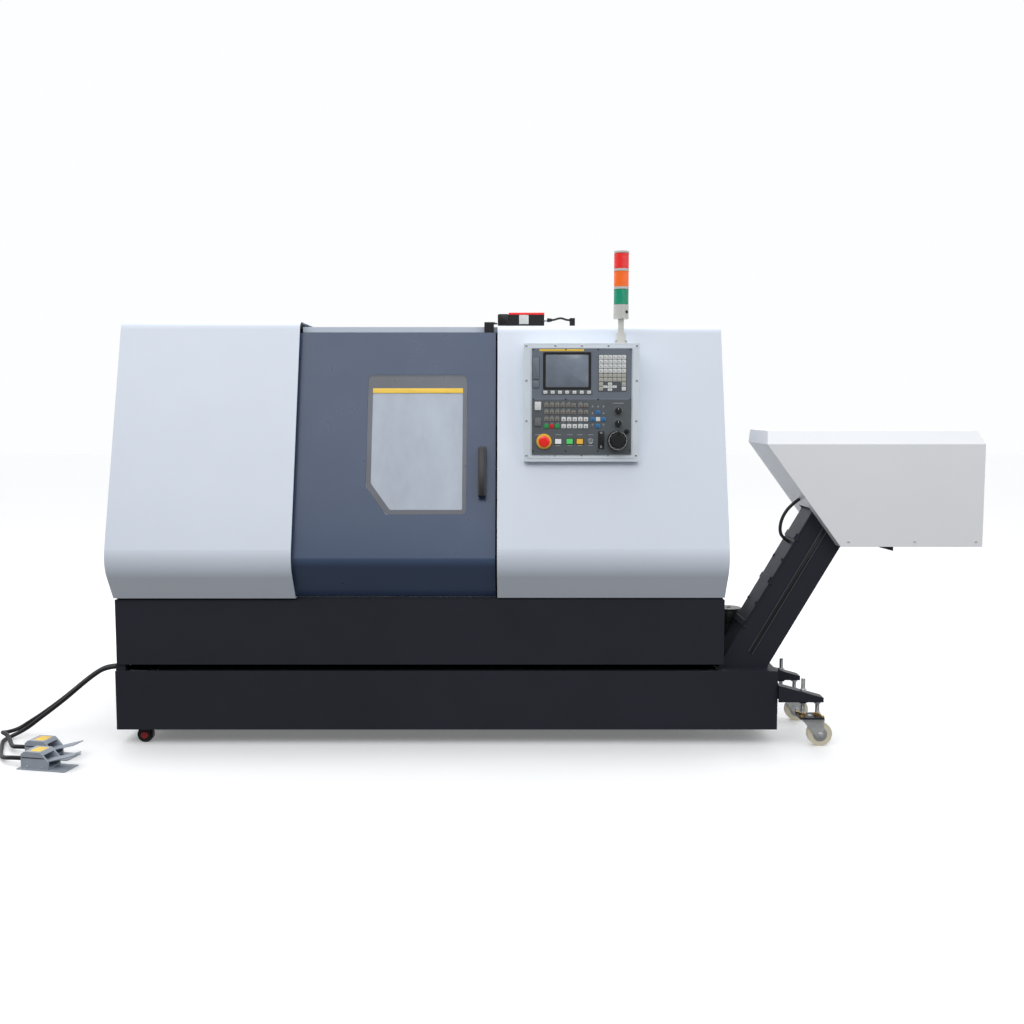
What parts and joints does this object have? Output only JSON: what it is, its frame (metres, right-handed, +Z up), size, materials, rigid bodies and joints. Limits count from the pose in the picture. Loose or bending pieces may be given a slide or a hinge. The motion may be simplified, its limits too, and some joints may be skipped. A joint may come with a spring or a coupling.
{
  "type": "cnc turning lathe",
  "caption": "Slant-bed turning lathe with a sliding window door, operator panel, signal tower, coolant tank, inclined chip conveyor and foot switches.",
  "frame": {"origin": "centre of the six anchor holes in the levelling pads, on the floor", "axes": "+X to the right of the operator's view, along the spindle towards the tailstock; +Y to the back; +Z up"},
  "size_m": [4.0748, 2.0886, 2.025],
  "materials": {
    "base_paint": "textured",
    "white_paint": "satin",
    "door_paint": "satin",
    "black_plastic": "matte",
    "window_glass": "clear",
    "cast_iron": "painted",
    "steel": "machined",
    "chrome": "polished",
    "galvanised": "galvanised",
    "panel_grey": "satin",
    "dark_panel": "satin",
    "red_plastic": "gloss",
    "amber_plastic": "gloss",
    "green_plastic": "gloss",
    "white_plastic": "gloss",
    "lens_plastic": "translucent",
    "nylon": "satin",
    "rubber": "matte",
    "motor_paint": "satin",
    "cabinet_paint": "satin",
    "unit_paint": "satin",
    "pedal_paint": "satin",
    "guard_steel": "brushed"
  },
  "bodies": {
    "root": {"base_frame": "base_paint", "levelling_feet": "cast_iron", "slant_bed": "cast_iron", "headstock": "cast_iron", "drive_motors": "motor_paint", "drive_belt": "rubber", "headstock_cover": "white_paint", "tailstock_cover": "white_paint", "roof_panel": "white_paint", "splash_guards": "guard_steel", "cabinet_shell": "cabinet_paint", "control_box": "panel_grey", "display_unit": "dark_panel", "operator_panel": "dark_panel", "signal_tower": "white_plastic", "tower_lenses": "lens_plastic", "door_switch": "black_plastic", "switch_cable": "rubber", "coolant_tank": "base_paint", "tank_outriggers": "base_paint", "coolant_pump": "motor_paint", "conveyor_casing": "base_paint", "conveyor_hood": "white_paint", "conveyor_belt": "steel", "hydraulic_unit": "unit_paint", "pedal_housings": "pedal_paint", "pedal_cable_front": "rubber", "pedal_cable_rear": "rubber", "conveyor_cable": "rubber"},
    "door": {"door_panel": "door_paint", "door_window": "window_glass", "door_handle": "black_plastic"},
    "spindle_line": {"spindle": "steel", "chuck_body": "steel"},
    "jaw_1": {"chuck_jaw_1": "steel"},
    "jaw_2": {"chuck_jaw_2": "steel"},
    "jaw_3": {"chuck_jaw_3": "steel"},
    "motor_rotor": {"motor_pulley": "steel"},
    "carriage": {"saddle": "cast_iron"},
    "z_screw": {"z_ballscrew": "chrome"},
    "x_slide": {"cross_slide": "cast_iron"},
    "turret_head": {"turret": "steel"},
    "tailstock_body": {"tailstock": "cast_iron"},
    "quill_barrel": {"quill": "chrome"},
    "estop": {"estop_head": "red_plastic"},
    "reset_button": {"button_reset": "white_plastic"},
    "start_button": {"button_start": "green_plastic"},
    "hold_button": {"button_hold": "amber_plastic"},
    "feed_selector": {"feed_knob": "black_plastic"},
    "speed_selector": {"speed_knob": "black_plastic"},
    "pulse_wheel": {"handwheel": "black_plastic"},
    "cabinet_leaf": {"cabinet_door": "cabinet_paint"},
    "fork_front": {"caster_fork_front": "galvanised"},
    "fork_rear": {"caster_fork_rear": "galvanised"},
    "wheel_front": {"caster_wheel_front": "nylon"},
    "wheel_rear": {"caster_wheel_rear": "nylon"},
    "tank_rollers": {"tank_wheelset": "rubber"},
    "tread_front": {"pedal_tread_front": "pedal_paint"},
    "tread_rear": {"pedal_tread_rear": "pedal_paint"},
    "conveyor_head": {"conveyor_head_shaft": "steel"}
  },
  "joints": [
    {"name": "door_slide", "type": "slide", "parent": "root", "child": "door", "axis": [-1, 0, 0], "range_m": [0, 0.7]},
    {"name": "spindle_spin", "type": "hinge", "parent": "root", "child": "spindle_line", "pos_m": [-0.45, -0.52, 1.06], "axis": [1, 0, 0], "continuous": true},
    {"name": "jaw_1_slide", "type": "slide", "parent": "spindle_line", "child": "jaw_1", "axis": [0, 0, 1], "range_m": [-0.004, 0.004]},
    {"name": "jaw_2_slide", "type": "slide", "parent": "spindle_line", "child": "jaw_2", "axis": [0, -0.866, -0.5], "range_m": [-0.004, 0.004]},
    {"name": "jaw_3_slide", "type": "slide", "parent": "spindle_line", "child": "jaw_3", "axis": [0, 0.866, -0.5], "range_m": [-0.004, 0.004]},
    {"name": "motor_spin", "type": "hinge", "parent": "root", "child": "motor_rotor", "pos_m": [-1.1, 0.32, 0.77], "axis": [1, 0, 0], "continuous": true},
    {"name": "z_axis", "type": "slide", "parent": "root", "child": "carriage", "axis": [1, 0, 0], "range_m": [-0.5, 0.1]},
    {"name": "z_screw_spin", "type": "hinge", "parent": "root", "child": "z_screw", "pos_m": [0.3, -0.18412, 1.10596], "axis": [1, 0, 0], "range_deg": [-9000, 1800]},
    {"name": "x_axis", "type": "slide", "parent": "carriage", "child": "x_slide", "axis": [0, 0.7071, 0.7071], "range_m": [-0.245, 0.02]},
    {"name": "turret_index", "type": "hinge", "parent": "x_slide", "child": "turret_head", "pos_m": [0.44, -0.21594, 1.36406], "axis": [1, 0, 0], "continuous": true},
    {"name": "tailstock_slide", "type": "slide", "parent": "root", "child": "tailstock_body", "axis": [1, 0, 0], "range_m": [-0.3, 0.02]},
    {"name": "quill_slide", "type": "slide", "parent": "tailstock_body", "child": "quill_barrel", "axis": [-1, 0, 0], "range_m": [0, 0.1]},
    {"name": "estop_press", "type": "slide", "parent": "root", "child": "estop", "axis": [0, 1, 0], "range_m": [0, 0.006]},
    {"name": "reset_press", "type": "slide", "parent": "root", "child": "reset_button", "axis": [0, 1, 0], "range_m": [0, 0.0025], "stiffness_N_per_m": 300, "springref_m": -0.002},
    {"name": "start_press", "type": "slide", "parent": "root", "child": "start_button", "axis": [0, 1, 0], "range_m": [0, 0.0025], "stiffness_N_per_m": 300, "springref_m": -0.002},
    {"name": "hold_press", "type": "slide", "parent": "root", "child": "hold_button", "axis": [0, 1, 0], "range_m": [0, 0.0025], "stiffness_N_per_m": 300, "springref_m": -0.002},
    {"name": "feed_turn", "type": "hinge", "parent": "root", "child": "feed_selector", "pos_m": [0.805, -0.916, 1.382], "axis": [0, -1, 0], "range_deg": [-130, 150]},
    {"name": "speed_turn", "type": "hinge", "parent": "root", "child": "speed_selector", "pos_m": [0.805, -0.916, 1.331], "axis": [0, -1, 0], "range_deg": [-130, 150]},
    {"name": "pulse_turn", "type": "hinge", "parent": "root", "child": "pulse_wheel", "pos_m": [0.801, -0.916, 1.263], "axis": [0, -1, 0], "continuous": true},
    {"name": "cabinet_hinge", "type": "hinge", "parent": "root", "child": "cabinet_leaf", "pos_m": [-0.428, 0.79, 0.985], "axis": [0, 0, 1], "range_deg": [0, 110]},
    {"name": "fork_front_swivel", "type": "hinge", "parent": "root", "child": "fork_front", "pos_m": [1.612, -0.89, 0.11], "axis": [0, 0, 1], "continuous": true},
    {"name": "fork_rear_swivel", "type": "hinge", "parent": "root", "child": "fork_rear", "pos_m": [1.612, -0.51, 0.11], "axis": [0, 0, 1], "continuous": true},
    {"name": "wheel_front_roll", "type": "hinge", "parent": "fork_front", "child": "wheel_front", "pos_m": [1.652, -0.89, 0.05], "axis": [0, 1, 0], "continuous": true},
    {"name": "wheel_rear_roll", "type": "hinge", "parent": "fork_rear", "child": "wheel_rear", "pos_m": [1.652, -0.51, 0.05], "axis": [0, 1, 0], "continuous": true},
    {"name": "tank_rollers_roll", "type": "hinge", "parent": "root", "child": "tank_rollers", "pos_m": [-1.157, -0.69, 0.033], "axis": [0, 1, 0], "continuous": true},
    {"name": "tread_front_press", "type": "hinge", "parent": "root", "child": "tread_front", "pos_m": [-1.45052, -1.18143, 0.024], "axis": [0.2079, 0.9781, 0], "range_deg": [0, 8], "stiffness_Nm_per_rad": 6, "springref_deg": -8.59},
    {"name": "tread_rear_press", "type": "hinge", "parent": "root", "child": "tread_rear", "pos_m": [-1.49752, -1.03543, 0.024], "axis": [0.2079, 0.9781, 0], "range_deg": [0, 8], "stiffness_Nm_per_rad": 6, "springref_deg": -8.59},
    {"name": "conveyor_head_spin", "type": "hinge", "parent": "root", "child": "conveyor_head", "pos_m": [1.77142, -0.742, 1.05575], "axis": [0, 1, 0], "continuous": true}
  ],
  "couplings": [
    {"joint": "jaw_2_slide", "follows": "jaw_1_slide", "ratio": 1},
    {"joint": "jaw_3_slide", "follows": "jaw_1_slide", "ratio": 1},
    {"joint": "motor_spin", "follows": "spindle_spin", "ratio": 1.4286},
    {"joint": "z_screw_spin", "follows": "z_axis", "rad_per_m": 314.16}
  ]
}
